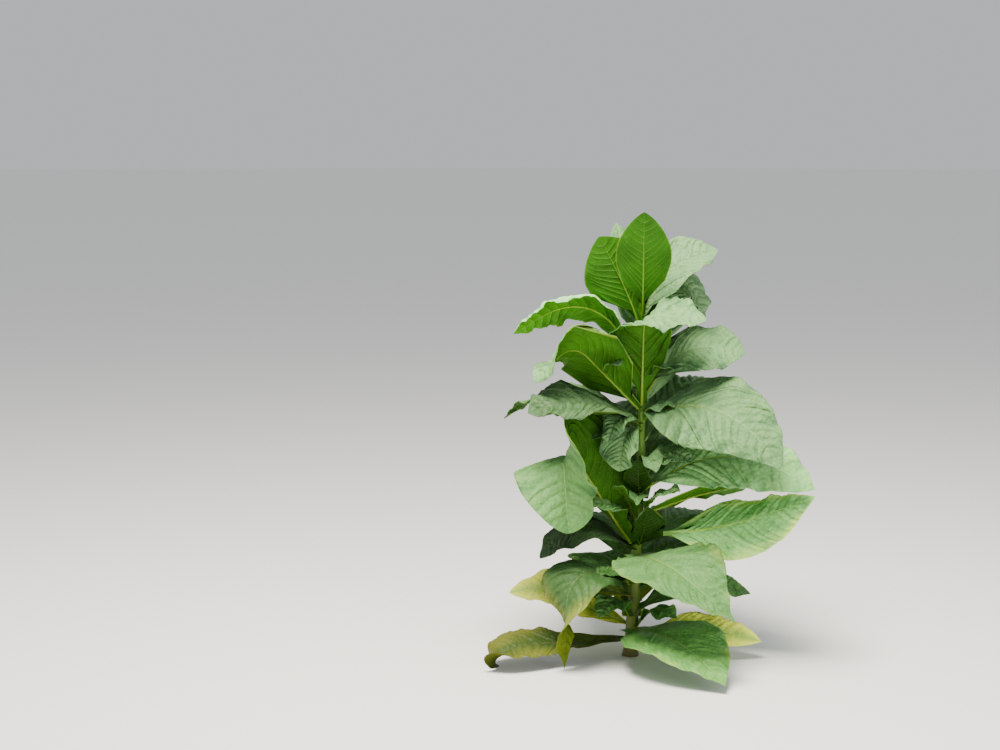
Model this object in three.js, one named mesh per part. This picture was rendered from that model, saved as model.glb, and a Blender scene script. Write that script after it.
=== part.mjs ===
// A young tobacco plant in the field, not yet flowering: one leafy stem, cut flat where it leaves the ground.
// Millimetres and degrees. +Z is up, -Y is the side shown in the photograph, +X is the viewer's right.
// Each leaf is a solid of its own that stands just clear of the stem.
import * as THREE from 'three';

// Stem
const STEM_HEIGHT = 1022;
const STEM_FOOT_RADIUS = 19;
const STEM_TOP_RADIUS = 6;
const STEM_TAPER = 1.1;
const STEM_LEAN = 28;
const STEM_BOW_ACROSS = 10;
const STEM_BOW_DEEP = 6;
const FLARE_RADIUS = 6;
const FLARE_HEIGHT = 25;
const STEM_SIDES = 12;
const STEM_STATIONS = 24;
const STATION_CROWDING = 1.35;

// Leaves
const LEAF_CLEARANCE = 0.35;
const LEAF_THICKNESS_SHARE = 1 / 92;
const LEAF_TIP_HALF_WIDTH = 4;
const LEAF_FULLNESS = 0.75;
const WING_SHARE_AT_FOOT = 0.32;
const WING_SHARE_AT_TOP = 0.08;
const WING_NARROWS_FROM = 0.05;
const WING_NARROWS_OVER = 0.3;
const BASE_SETTLES_OVER = 0.16;
const BLADE_OPENS_OVER = 0.2;
const MIDRIB_DEPTH_SHARE = 1 / 75;
const WAVES = 2.2;
const WAVE_OFFSET_LEFT = 120;
const WAVE_FADE = 0.7;
const ROW_SPACING = 46;
const FEWEST_ROWS = 6;
const COLUMNS_EACH_SIDE = 3;
const MIDRIB_STEPS = 60;
const SPLIT_GAP = 0.7;

// Colours
const STEM_COLOUR = 0x9db35a;
const YOUNG_LEAF = 0x6f9a45;
const GROWN_LEAF = 0x7f9f6e;
const RIPE_LEAF = 0xa9b45c;
const SURFACE_ROUGHNESS = 0.6;

const radians = (degrees) => THREE.MathUtils.degToRad(degrees);

function smooth(x) {
  const t = Math.min(1, Math.max(0, x));
  return t * t * (3 - 2 * t);
}

// What every leaf starts from. "at" is the height of its base on the stem and "facing" the way it points,
// counted from +X towards +Y. The midrib climbs at "rise", passes over at "bend_at" and ends at "droop".
// "roll" turns the blade about its midrib at the base, the bend and the tip. Each half leaves the midrib at
// its "cup" angle and curls on by its "curl" angle.
const COMMON = {
  rise: 45,
  droop: -20,
  bend_at: 0.5,
  bend_span: 0.9,
  sway: 0,
  turn: 0,
  roll: [0, 0, 0],
  left_cup: 8,
  left_curl: -10,
  right_cup: 8,
  right_curl: -10,
  wave: 6,
  stalk: 0.1,
  peak: 0.52,
  split: 0,
  colour: GROWN_LEAF,
};

// Numbered roughly from the ground up, with those that fill the gaps between the others last
const LEAVES = {
  leaf_01: {
    at: 60, facing: 352, rise: 12, droop: -14, length: 365, width: 120, roll: [-30, -35, -40],
    colour: RIPE_LEAF,
  },
  leaf_02: {
    at: 50, facing: 197, rise: 2, droop: -52, bend_at: 0.85, bend_span: 0.34, sway: 19, length: 448,
    width: 164, peak: 0.7, roll: [12, 12, -88], colour: RIPE_LEAF,
  },
  leaf_03: {
    at: 80, facing: 299, rise: 8, droop: -22, length: 468, width: 290, stalk: 0.03, peak: 0.42,
    roll: [-10, -5, 0],
  },
  leaf_04: {
    at: 92, facing: 160, rise: 22, droop: 6, length: 200, width: 90, roll: [25, 25, 25],
    colour: RIPE_LEAF,
  },
  leaf_05: {
    at: 115, facing: 92, rise: 34, droop: -30, length: 400, width: 210, colour: RIPE_LEAF,
  },
  leaf_06: {
    at: 180, facing: 176, rise: 12, droop: -12, length: 352, width: 160, roll: [20, 25, 35],
    colour: RIPE_LEAF,
  },
  leaf_07: {
    at: 205, facing: 45, rise: 40, droop: -35, length: 450, width: 230,
  },
  leaf_08: {
    at: 225, facing: 219, rise: 17, droop: -88, bend_at: 0.46, bend_span: 0.42, turn: 6, length: 490,
    width: 200, peak: 0.42, roll: [15, 12, -112], split: 0.5,
  },
  leaf_09: {
    at: 262, facing: 112, rise: 44, droop: -40, length: 480, width: 245,
  },
  leaf_10: {
    at: 302, facing: 291, rise: 6, droop: -37, sway: 50, length: 464, width: 320, stalk: 0.02,
    peak: 0.4, roll: [-10, -12, -10], left_cup: 3, left_curl: 0, right_cup: 14,
  },
  leaf_11: {
    at: 360, facing: 351, rise: 6, droop: 23, length: 520, width: 226, stalk: 0.24, peak: 0.54,
    roll: [-12, -34, -30], right_cup: -24, right_curl: -10, left_cup: -12, left_curl: 5, wave: 14,
  },
  leaf_12: {
    at: 340, facing: 191, rise: 57, droop: -80, bend_at: 0.6, bend_span: 0.3, turn: 74, sway: 42,
    length: 588, width: 296, peak: 0.6, roll: [-22, -24, 5], left_cup: 32, left_curl: 60, split: 0.61,
  },
  leaf_13: {
    at: 318, facing: 186, rise: 38, droop: -48, length: 315, width: 180, roll: [10, 15, 20],
  },
  leaf_14: {
    at: 395, facing: 124, rise: 50, droop: -45, length: 500, width: 250,
  },
  leaf_15: {
    at: 468, facing: 70, rise: 52, droop: -40, length: 520, width: 260,
  },
  leaf_16: {
    at: 424, facing: 14, rise: 17, droop: 2, length: 440, width: 220, roll: [25, 25, 25],
  },
  leaf_17: {
    at: 500, facing: 345, rise: 34, droop: -30, length: 535, width: 236, roll: [-26, -28, -31],
    right_cup: -8, right_curl: -12, left_cup: 5, left_curl: 0,
  },
  leaf_18: {
    at: 560, facing: 104, rise: 54, droop: -45, length: 520, width: 260,
  },
  leaf_19: {
    at: 628, facing: 156, rise: 48, droop: -35, length: 490, width: 232,
  },
  leaf_20: {
    at: 640, facing: 40, rise: 54, droop: -30, length: 480, width: 240,
  },
  leaf_21: {
    at: 690, facing: 203, rise: 30, droop: -14, length: 365, width: 240, roll: [8, 14, 25],
  },
  leaf_22: {
    at: 668, facing: 228, rise: 12, droop: -80, bend_at: 0.34, bend_span: 0.5, length: 172, width: 136,
    peak: 0.56, roll: [6, 8, 14], left_cup: 15, left_curl: 20, right_cup: 15, right_curl: 20,
  },
  leaf_23: {
    at: 715, facing: 80, rise: 56, droop: -35, length: 480, width: 230,
  },
  leaf_24: {
    at: 722, facing: 325, rise: 16, droop: -47, length: 505, width: 280, stalk: 0.02, peak: 0.42,
    roll: [-18, -21, -24], right_cup: -15, right_curl: -25, left_cup: 10, left_curl: 0,
  },
  leaf_25: {
    at: 750, facing: 266, rise: 77, droop: -6, bend_at: 0.6, bend_span: 0.3, turn: 62, sway: 25,
    length: 448, width: 214, peak: 0.56, roll: [0, -22, -26], left_cup: 5, left_curl: 5, right_cup: 5,
    right_curl: 5, split: 0.6,
  },
  leaf_26: {
    at: 737, facing: 192, rise: 45, droop: -46, bend_at: 0.64, bend_span: 0.3, length: 412, width: 278,
    peak: 0.5, roll: [-45, -45, 22], left_cup: 10, left_curl: -30, right_cup: 12, right_curl: 0,
    split: 0.62,
  },
  leaf_27: {
    at: 778, facing: 355, rise: 60, droop: -14, length: 345, width: 208, stalk: 0.18, peak: 0.6,
    roll: [-15, -20, -25], right_cup: -10, left_cup: 10, left_curl: 0,
  },
  leaf_28: {
    at: 786, facing: 168, rise: 30, droop: 34, length: 95, width: 52, roll: [30, 40, 45], left_cup: 25,
    left_curl: 10, right_cup: 25, right_curl: 10,
  },
  leaf_29: {
    at: 750, facing: 120, rise: 56, droop: -20, length: 430, width: 205,
  },
  leaf_30: {
    at: 860, facing: 57, rise: 58, droop: -15, length: 405, width: 196,
  },
  leaf_31: {
    at: 840, facing: 181, rise: 66, droop: -32, bend_span: 0.75, length: 480, width: 160, stalk: 0.25,
    peak: 0.62, roll: [-40, -55, -50], left_cup: 15, left_curl: -90, right_cup: 10, right_curl: 10,
  },
  leaf_32: {
    at: 905, facing: 90, rise: 66, droop: 10, length: 345, width: 160,
  },
  leaf_33: {
    at: 944, facing: 20, rise: 60, droop: -72, bend_at: 0.58, bend_span: 0.45, length: 338, width: 138,
    peak: 0.6, roll: [-38, -42, -45], left_cup: 5, left_curl: 5, right_cup: 5, right_curl: 5, wave: 4,
    colour: YOUNG_LEAF,
  },
  leaf_34: {
    at: 940, facing: 115, rise: 70, droop: 58, length: 358, width: 130, wave: 4, colour: YOUNG_LEAF,
  },
  leaf_35: {
    at: 976, facing: 197, rise: 67, droop: 60, length: 285, width: 200, stalk: 0.17, peak: 0.56,
    roll: [-60, -80, -80], left_cup: 5, left_curl: 10, right_cup: 4, right_curl: 4, wave: 3,
    colour: YOUNG_LEAF,
  },
  leaf_36: {
    at: 992, facing: 16, rise: 75, droop: 14, bend_at: 0.45, length: 318, width: 202,
    roll: [-12, -14, -18], left_cup: 30, left_curl: 0, right_cup: 6, colour: YOUNG_LEAF,
  },
  leaf_37: {
    at: 1008, facing: 267, rise: 62, droop: 73, length: 322, width: 162, stalk: 0.14, peak: 0.55,
    wave: 2, left_curl: 6, right_curl: 6, colour: YOUNG_LEAF,
  },
  leaf_38: {
    at: 1011, facing: 90, rise: 82, droop: 76, length: 115, width: 34, wave: 0, left_cup: 30,
    left_curl: 10, right_cup: 30, right_curl: 10, colour: YOUNG_LEAF,
  },
  leaf_39: {
    at: 575, facing: 292, rise: 42, droop: -60, length: 112, width: 68, roll: [-8, -10, -12],
    left_cup: 14, left_curl: 10, right_cup: 14, right_curl: 10, wave: 4,
  },
  leaf_40: {
    at: 462, facing: 262, rise: 40, droop: -35, length: 96, width: 62, roll: [10, 12, 15], left_cup: 20,
    left_curl: 10, right_cup: 20, right_curl: 10, wave: 3,
  },
  leaf_41: {
    at: 322, facing: 44, rise: 26, droop: -22, length: 430, width: 255,
  },
  leaf_42: {
    at: 158, facing: 112, rise: 44, droop: -34, length: 400, width: 215,
  },
  leaf_43: {
    at: 136, facing: 8, rise: 34, droop: -22, length: 360, width: 190, roll: [-10, -15, -15],
  },
  leaf_44: {
    at: 333, facing: 286, rise: 50, droop: 68, length: 150, width: 156, stalk: 0.22, peak: 0.52,
    left_cup: -15, right_cup: -25, wave: 5,
  },
  leaf_45: {
    at: 486, facing: 262, rise: 64, droop: 64, length: 120, width: 90, stalk: 0.06, peak: 0.52,
    left_cup: -24, right_cup: -8, wave: 4,
  },
};

// Centre of the stem at a height: it leans to the right and bows a little on the way
function stemCentre(height) {
  const t = height / STEM_HEIGHT;
  const x = STEM_LEAN * t + STEM_BOW_ACROSS * Math.sin(Math.PI * t);
  const y = STEM_BOW_DEEP * Math.sin(2 * Math.PI * t);
  return new THREE.Vector3(x, y, height);
}

function stemRadius(height) {
  const t = height / STEM_HEIGHT;
  const taper = STEM_FOOT_RADIUS + (STEM_TOP_RADIUS - STEM_FOOT_RADIUS) * t ** STEM_TAPER;
  return taper + FLARE_RADIUS * Math.exp(-height / FLARE_HEIGHT);
}

function closedSolid(corners, faces, colour) {
  const geometry = new THREE.BufferGeometry();
  geometry.setAttribute('position', new THREE.Float32BufferAttribute(corners, 3));
  geometry.setIndex(faces);
  geometry.computeVertexNormals();
  const material = new THREE.MeshStandardMaterial({ color: colour, roughness: SURFACE_ROUGHNESS });
  return new THREE.Mesh(geometry, material);
}

// Rings of corners up the stem, closer together in the root flare, with a flat foot and a short cone on top
function makeStem() {
  const corners = [];
  const faces = [];
  for (let i = 0; i <= STEM_STATIONS; i += 1) {
    const height = STEM_HEIGHT * (i / STEM_STATIONS) ** STATION_CROWDING;
    const centre = stemCentre(height);
    const radius = stemRadius(height);
    for (let k = 0; k < STEM_SIDES; k += 1) {
      const angle = (2 * Math.PI * k) / STEM_SIDES;
      corners.push(centre.x + radius * Math.cos(angle), centre.y + radius * Math.sin(angle), height);
    }
  }
  for (let i = 0; i < STEM_STATIONS; i += 1) {
    for (let k = 0; k < STEM_SIDES; k += 1) {
      const a = i * STEM_SIDES + k;
      const b = i * STEM_SIDES + ((k + 1) % STEM_SIDES);
      faces.push(a, b, b + STEM_SIDES, a, b + STEM_SIDES, a + STEM_SIDES);
    }
  }
  const foot = corners.length / 3;
  const bottom = stemCentre(0);
  const top = stemCentre(STEM_HEIGHT);
  corners.push(bottom.x, bottom.y, 0);
  corners.push(top.x, top.y, STEM_HEIGHT + STEM_TOP_RADIUS);
  const last = STEM_STATIONS * STEM_SIDES;
  for (let k = 0; k < STEM_SIDES; k += 1) {
    const next = (k + 1) % STEM_SIDES;
    faces.push(foot, next, k);
    faces.push(foot + 1, last + k, last + next);
  }
  return closedSolid(corners, faces, STEM_COLOUR);
}

// Half width at a share s of the length: a winged stalk, the widest place at "peak" and a pointed tip
function halfWidth(leaf, s) {
  const t = Math.max(0, (s - leaf.stalk) / (1 - leaf.stalk));
  const widest = (leaf.peak - leaf.stalk) / (1 - leaf.stalk);
  const power = (1 - widest) / widest;
  const top = widest * (1 - widest) ** power;
  const body = ((t * (1 - t) ** power) / top) ** LEAF_FULLNESS;
  const share = WING_SHARE_AT_FOOT + ((WING_SHARE_AT_TOP - WING_SHARE_AT_FOOT) * leaf.at) / STEM_HEIGHT;
  const wing = share * (1 - smooth((s - WING_NARROWS_FROM) / WING_NARROWS_OVER));
  return Math.max((leaf.width / 2) * Math.max(body, wing), LEAF_TIP_HALF_WIDTH);
}

function rollAt(leaf, s) {
  const [base, bend, tip] = leaf.roll;
  const settled = smooth(s / BASE_SETTLES_OVER);
  if (s < leaf.bend_at) {
    return settled * (base + (bend - base) * smooth(s / leaf.bend_at));
  }
  return settled * (bend + (tip - bend) * smooth((s - leaf.bend_at) / (1 - leaf.bend_at)));
}

// Way the midrib runs at a share s of its length
function heading(leaf, s) {
  const bent = smooth((s - leaf.bend_at) / leaf.bend_span + 0.5);
  const lift = radians(leaf.rise + (leaf.droop - leaf.rise) * bent);
  const facing = radians(leaf.facing + leaf.sway * s * s + leaf.turn * bent);
  const along = new THREE.Vector3(
    Math.cos(lift) * Math.cos(facing),
    Math.cos(lift) * Math.sin(facing),
    Math.sin(lift),
  );
  const across = new THREE.Vector3(Math.sin(facing), -Math.cos(facing), 0);
  return { along, across };
}

// Points on the midrib with the directions across and out of the blade there
function midrib(leaf, thickness) {
  const outward = new THREE.Vector3(Math.cos(radians(leaf.facing)), Math.sin(radians(leaf.facing)), 0);
  const lean = (thickness / 2) * Math.abs(Math.sin(radians(leaf.rise)));
  const point = stemCentre(leaf.at).addScaledVector(outward, stemRadius(leaf.at) + LEAF_CLEARANCE + lean);
  const stations = [];
  for (let i = 0; i <= MIDRIB_STEPS; i += 1) {
    const s = i / MIDRIB_STEPS;
    const { along, across } = heading(leaf, s);
    const face = across.clone().cross(along);
    const roll = radians(rollAt(leaf, s));
    const side = across.clone().multiplyScalar(Math.cos(roll)).addScaledVector(face, Math.sin(roll));
    const out = face.clone().multiplyScalar(Math.cos(roll)).addScaledVector(across, -Math.sin(roll));
    stations.push({ point: point.clone(), side, out });
    point.addScaledVector(heading(leaf, s + 0.5 / MIDRIB_STEPS).along, leaf.length / MIDRIB_STEPS);
  }
  return stations;
}

function stationAt(stations, s) {
  const place = s * MIDRIB_STEPS;
  const i = Math.min(MIDRIB_STEPS - 1, Math.floor(place));
  const mix = place - i;
  const a = stations[i];
  const b = stations[i + 1];
  return {
    point: a.point.clone().lerp(b.point, mix),
    side: a.side.clone().lerp(b.side, mix).normalize(),
    out: a.out.clone().lerp(b.out, mix).normalize(),
  };
}

// One point of the blade: u runs from -1 at the left margin to 1 at the right one
function bladePoint(leaf, stations, s, u) {
  const { point, side, out } = stationAt(stations, s);
  const reach = halfWidth(leaf, s) * Math.abs(u);
  const opened = smooth(s / BLADE_OPENS_OVER);
  const cup = radians(u < 0 ? leaf.left_cup : leaf.right_cup) * opened;
  const curl = radians(u < 0 ? leaf.left_curl : leaf.right_curl) * opened;
  const middle = cup + (curl * Math.abs(u)) / 2;
  const end = cup + curl * Math.abs(u);
  const phase = radians(360 * WAVES * s + (u < 0 ? WAVE_OFFSET_LEFT : 0));
  const lift = leaf.wave * u * u * Math.sin(phase) * Math.sin(Math.PI * s) ** WAVE_FADE;
  const sideways = reach * Math.cos(middle) - lift * Math.sin(end);
  const up = reach * Math.sin(middle) + lift * Math.cos(end);
  const position = point.addScaledVector(side, Math.sign(u) * sideways).addScaledVector(out, up);
  const tilt = -Math.sign(u) * Math.sin(end);
  const normal = out.clone().multiplyScalar(Math.cos(end)).addScaledVector(side, tilt);
  return { position, normal };
}

// A closed blade between two shares of the length, with the midrib standing out on the underside
function makeBlade(leaf, from, to) {
  const thickness = leaf.length * LEAF_THICKNESS_SHARE;
  const stations = midrib(leaf, thickness);
  const rows = Math.max(FEWEST_ROWS, Math.round((leaf.length * (to - from)) / ROW_SPACING));
  const columns = 2 * COLUMNS_EACH_SIDE;
  const across = columns + 1;
  const upper = [];
  const under = [];
  for (let i = 0; i <= rows; i += 1) {
    const s = from + ((to - from) * i) / rows;
    for (let j = 0; j <= columns; j += 1) {
      const u = (j - COLUMNS_EACH_SIDE) / COLUMNS_EACH_SIDE;
      const { position, normal } = bladePoint(leaf, stations, s, u);
      const rib = j === COLUMNS_EACH_SIDE ? leaf.length * MIDRIB_DEPTH_SHARE * (1 - s) : 0;
      upper.push(...position.clone().addScaledVector(normal, thickness / 2).toArray());
      under.push(...position.clone().addScaledVector(normal, -thickness / 2 - rib).toArray());
    }
  }
  const faces = [];
  const below = (rows + 1) * across;
  for (let i = 0; i < rows; i += 1) {
    for (let j = 0; j < columns; j += 1) {
      const a = i * across + j;
      const b = a + 1;
      const c = b + across;
      const d = a + across;
      if (j < COLUMNS_EACH_SIDE) {
        faces.push(a, b, c, a, c, d);
        faces.push(below + a, below + c, below + b, below + a, below + d, below + c);
      } else {
        faces.push(a, b, d, b, c, d);
        faces.push(below + a, below + d, below + b, below + b, below + d, below + c);
      }
    }
    const left = i * across;
    const right = left + columns;
    faces.push(left, left + across, below + left, left + across, below + left + across, below + left);
    faces.push(right, below + right, right + across, right + across, below + right, below + right + across);
  }
  for (let j = 0; j < columns; j += 1) {
    const end = rows * across + j;
    faces.push(j, below + j, j + 1, j + 1, below + j, below + j + 1);
    faces.push(end, end + 1, below + end, end + 1, below + end + 1, below + end);
  }
  return closedSolid([...upper, ...under], faces, leaf.colour);
}

const plant = new THREE.Group();
plant.name = 'tobacco_plant';

const stem = makeStem();
stem.name = 'stem';
plant.add(stem);

for (const [name, shape] of Object.entries(LEAVES)) {
  const leaf = { ...COMMON, ...shape };
  if (leaf.split > 0) {
    const inner = makeBlade(leaf, 0, leaf.split);
    inner.name = name;
    const outer = makeBlade(leaf, leaf.split + SPLIT_GAP / leaf.length, 1);
    outer.name = `${name}_end`;
    plant.add(inner, outer);
  } else {
    const blade = makeBlade(leaf, 0, 1);
    blade.name = name;
    plant.add(blade);
  }
}

export default plant;
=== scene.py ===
# A tobacco plant rooted in the ground, not yet flowering: one stem with large drooping leaves.
import math

import bpy
import numpy as np
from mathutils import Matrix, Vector, noise


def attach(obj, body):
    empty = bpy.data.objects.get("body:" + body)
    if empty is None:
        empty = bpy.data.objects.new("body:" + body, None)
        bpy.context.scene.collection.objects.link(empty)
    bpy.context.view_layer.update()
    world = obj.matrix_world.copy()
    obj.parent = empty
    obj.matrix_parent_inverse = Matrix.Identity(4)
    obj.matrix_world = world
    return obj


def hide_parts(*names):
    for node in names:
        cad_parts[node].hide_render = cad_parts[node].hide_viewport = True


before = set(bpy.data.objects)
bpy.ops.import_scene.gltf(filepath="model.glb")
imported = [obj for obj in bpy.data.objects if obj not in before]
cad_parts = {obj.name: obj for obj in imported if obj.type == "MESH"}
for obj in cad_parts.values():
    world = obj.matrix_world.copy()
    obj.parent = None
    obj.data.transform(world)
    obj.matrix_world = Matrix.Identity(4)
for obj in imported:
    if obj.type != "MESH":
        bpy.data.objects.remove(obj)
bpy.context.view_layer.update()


# Stem
# The green stalk that carries the leaves: firm, faintly ribbed along its length, widest where it meets the
# ground and cut flat there. It is one skin laid round the same leaning centre line and taper as the solid.
MM = 0.001
STEM_HEIGHT = 1022
STEM_FOOT_RADIUS = 19
STEM_TOP_RADIUS = 6
STEM_TAPER = 1.1
STEM_LEAN = 28
STEM_BOW_ACROSS = 10
STEM_BOW_DEEP = 6
FLARE_RADIUS = 6
FLARE_HEIGHT = 25
STEM_RINGS = 260
STEM_SIDES = 60
STEM_RIBS = 7
STEM_RIB_DEPTH = 0.55
STEM_FLUTES = 19
STEM_FLUTE_DEPTH = 0.16
STEM_TWIST = 1.6
STREAK_WIDTH = 3
STREAK_LENGTH = 90


def stem_centre(height):
    share = height / STEM_HEIGHT
    x = STEM_LEAN * share + STEM_BOW_ACROSS * np.sin(np.pi * share)
    y = STEM_BOW_DEEP * np.sin(2 * np.pi * share)
    return x, y


def stem_radius(height):
    taper = STEM_FOOT_RADIUS + (STEM_TOP_RADIUS - STEM_FOOT_RADIUS) * (height / STEM_HEIGHT) ** STEM_TAPER
    return taper + FLARE_RADIUS * np.exp(-height / FLARE_HEIGHT)


def piece_from(name, corners, faces, materials, face_materials=None):
    """A smooth mesh object in metres, made from corners in millimetres."""
    mesh = bpy.data.meshes.new(name)
    mesh.from_pydata((np.asarray(corners, dtype=float) * MM).tolist(), [], faces)
    for material in materials:
        mesh.materials.append(material)
    if face_materials is not None:
        mesh.polygons.foreach_set("material_index", face_materials)
    mesh.shade_smooth()
    mesh.update()
    piece = bpy.data.objects.new(name, mesh)
    bpy.context.collection.objects.link(piece)
    return piece


def colour(code):
    """Linear colour of an sRGB hex code such as "#7f9f6e"."""
    parts = [int(code[i:i + 2], 16) / 255 for i in (1, 3, 5)]
    linear = [p / 12.92 if p <= 0.04045 else ((p + 0.055) / 1.055) ** 2.4 for p in parts]
    return (*linear, 1.0)


def add_node(tree, kind, settings=None, inputs=None):
    """Adds a node, sets its properties and gives each input a value or a link from another node's output."""
    node = tree.nodes.new(kind)
    for key, value in (settings or {}).items():
        setattr(node, key, value)
    for key, value in (inputs or {}).items():
        if isinstance(value, bpy.types.NodeSocket):
            tree.links.new(value, node.inputs[key])
        else:
            node.inputs[key].default_value = value
    return node


def new_material(name, **surface):
    """An empty material with its shader, whose even values are set straight on the shader."""
    material = bpy.data.materials.new(name)
    material.use_nodes = True
    shader = material.node_tree.nodes["Principled BSDF"]
    for key, value in surface.items():
        shader.inputs[key.replace("_", " ")].default_value = value
    return material, material.node_tree, shader


def ramp(tree, value, stops):
    """Colours or greys dealt along a value, as (place, hex code) pairs."""
    node = add_node(tree, "ShaderNodeValToRGB", None, {"Fac": value})
    elements = node.color_ramp.elements
    while len(elements) < len(stops):
        elements.new(0.5)
    for element, (place, code) in zip(elements, stops):
        element.position = place
        element.color = colour(code)
    return node.outputs["Color"]


def per_metre(millimetres):
    """Texture scale that gives one cell or cycle every so many millimetres."""
    return 1000 / millimetres


# Living green rind: paler and darker in fine streaks along its length, and turning straw-brown near the soil
stem_green, tree, shader = new_material("green_stem_rind", Roughness=0.5, IOR=1.42)
place = add_node(tree, "ShaderNodeTexCoord").outputs["Object"]
height = add_node(tree, "ShaderNodeSeparateXYZ", None, {0: place}).outputs["Z"]
streaks = add_node(tree, "ShaderNodeMapping", None, {
    "Vector": place, "Scale": (per_metre(STREAK_WIDTH), per_metre(STREAK_WIDTH), per_metre(STREAK_LENGTH)),
})
grain = add_node(tree, "ShaderNodeTexNoise", None, {
    "Vector": streaks.outputs[0], "Scale": 1.0, "Detail": 4.0,
})
tint = ramp(tree, height, [(0.0, "#6f6634"), (0.06, "#6f7a30"), (0.3, "#688a2c"), (1.0, "#5f9426")])
grain_tint = ramp(tree, grain.outputs["Fac"], [(0.3, "#6f8436"), (0.5, "#ffffff"), (0.72, "#d9e2a0")])
mixed = add_node(tree, "ShaderNodeMix", {"data_type": "RGBA", "blend_type": "MULTIPLY"}, {
    0: 0.55, 6: tint, 7: grain_tint,
})
tree.links.new(mixed.outputs[2], shader.inputs["Base Color"])
bump = add_node(tree, "ShaderNodeBump", None, {
    "Strength": 0.5, "Distance": 0.0006, "Height": grain.outputs["Fac"],
})
tree.links.new(bump.outputs[0], shader.inputs["Normal"])

rings = STEM_HEIGHT * np.linspace(0, 1, STEM_RINGS)[:, None]
angles = np.linspace(0, 2 * np.pi, STEM_SIDES, endpoint=False)[None, :]
turn = STEM_TWIST * rings / STEM_HEIGHT
ridges = STEM_RIB_DEPTH * np.cos(STEM_RIBS * (angles + turn))
flutes = STEM_FLUTE_DEPTH * np.cos(STEM_FLUTES * angles - turn)
radius = stem_radius(rings) + (ridges + flutes) * stem_radius(rings) / STEM_FOOT_RADIUS
across, deep = stem_centre(rings)
skin = np.stack([
    across + radius * np.cos(angles),
    deep + radius * np.sin(angles),
    rings + 0 * angles,
], -1).reshape(-1, 3)
foot = [0, 0, 0]
peak_x, peak_y = stem_centre(STEM_HEIGHT)
peak = [peak_x, peak_y, STEM_HEIGHT + STEM_TOP_RADIUS]
faces = []
for i in range(STEM_RINGS - 1):
    for k in range(STEM_SIDES):
        a = i * STEM_SIDES + k
        b = i * STEM_SIDES + (k + 1) % STEM_SIDES
        faces.append((a, b, b + STEM_SIDES, a + STEM_SIDES))
centre = STEM_RINGS * STEM_SIDES
last = centre - STEM_SIDES
for k in range(STEM_SIDES):
    faces.append((centre, (k + 1) % STEM_SIDES, k))
    faces.append((centre + 1, last + k, last + (k + 1) % STEM_SIDES))
stem = piece_from("stem_rind", [*skin.tolist(), foot, peak], faces, [stem_green])
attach(stem, "root")
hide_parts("stem")


# Stem hairs
# Short sticky hairs stand all over the young rind. Each is a three-sided spike, drawn thicker than a real
# hair so that it shows. Geometry Nodes scatter them over the stem's skin, square to it, from above its foot.
HAIR_LENGTH = 1.8
HAIR_RADIUS = 0.09
HAIRS_PER_SQUARE_METRE = 52000
HAIRS_FROM_HEIGHT = 5
HAIR_SIDES = 3
HAIR_SEED = 4


def input_socket(tree, name, kind, value):
    socket = tree.interface.new_socket(name=name, in_out="INPUT", socket_type=kind)
    socket.default_value = value


# Clear plant hair: pale and a little glossy, so that the rind looks frosted where the hairs are seen edge on
hair_pale, tree, shader = new_material("pale_leaf_hair", Roughness=0.45)
shader.inputs["Base Color"].default_value = colour("#c9d39a")

tree = bpy.data.node_groups.new("scatter_stem_hairs", "GeometryNodeTree")
tree.interface.new_socket(name="Skin", in_out="INPUT", socket_type="NodeSocketGeometry")
input_socket(tree, "Hairs per square metre", "NodeSocketFloat", HAIRS_PER_SQUARE_METRE)
input_socket(tree, "Hair length", "NodeSocketFloat", HAIR_LENGTH * MM)
input_socket(tree, "Hair radius", "NodeSocketFloat", HAIR_RADIUS * MM)
tree.interface.new_socket(name="Hairs", in_out="OUTPUT", socket_type="NodeSocketGeometry")
given = add_node(tree, "NodeGroupInput").outputs
on_skin = add_node(tree, "GeometryNodeInputPosition").outputs[0]
height = add_node(tree, "ShaderNodeSeparateXYZ", None, {0: on_skin}).outputs["Z"]
above_foot = add_node(tree, "FunctionNodeCompare", {"operation": "GREATER_THAN"}, {
    0: height, 1: HAIRS_FROM_HEIGHT * MM,
})
points = add_node(tree, "GeometryNodeDistributePointsOnFaces", None, {
    "Mesh": given["Skin"], "Selection": above_foot.outputs[0], "Seed": HAIR_SEED,
    "Density": given["Hairs per square metre"],
})
spike = add_node(tree, "GeometryNodeMeshCone", {"fill_type": "TRIANGLE_FAN"}, {
    "Vertices": HAIR_SIDES, "Radius Top": 0.0, "Radius Bottom": given["Hair radius"],
    "Depth": given["Hair length"],
})
copies = add_node(tree, "GeometryNodeInstanceOnPoints", None, {
    "Points": points.outputs["Points"], "Rotation": points.outputs["Rotation"],
    "Instance": spike.outputs["Mesh"],
})
real = add_node(tree, "GeometryNodeRealizeInstances", None, {"Geometry": copies.outputs[0]})
dyed = add_node(tree, "GeometryNodeSetMaterial", None, {"Geometry": real.outputs[0], "Material": hair_pale})
add_node(tree, "NodeGroupOutput", None, {"Hairs": dyed.outputs[0]})


def grown_by_nodes(name, mesh, tree, values, materials):
    """The plain mesh object that a node tree makes from a mesh, with the tree's named inputs set first."""
    seedling = bpy.data.objects.new(name + "_seedling", mesh)
    bpy.context.collection.objects.link(seedling)
    modifier = seedling.modifiers.new("grow", "NODES")
    modifier.node_group = tree
    for item in tree.interface.items_tree:
        if item.item_type == "SOCKET" and item.in_out == "INPUT" and item.name in values:
            modifier[item.identifier] = values[item.name]
    depsgraph = bpy.context.evaluated_depsgraph_get()
    made = bpy.data.meshes.new_from_object(seedling.evaluated_get(depsgraph))
    bpy.data.objects.remove(seedling)
    made.name = name
    made.materials.clear()
    for material in materials:
        made.materials.append(material)
    piece = bpy.data.objects.new(name, made)
    bpy.context.collection.objects.link(piece)
    return piece


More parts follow.
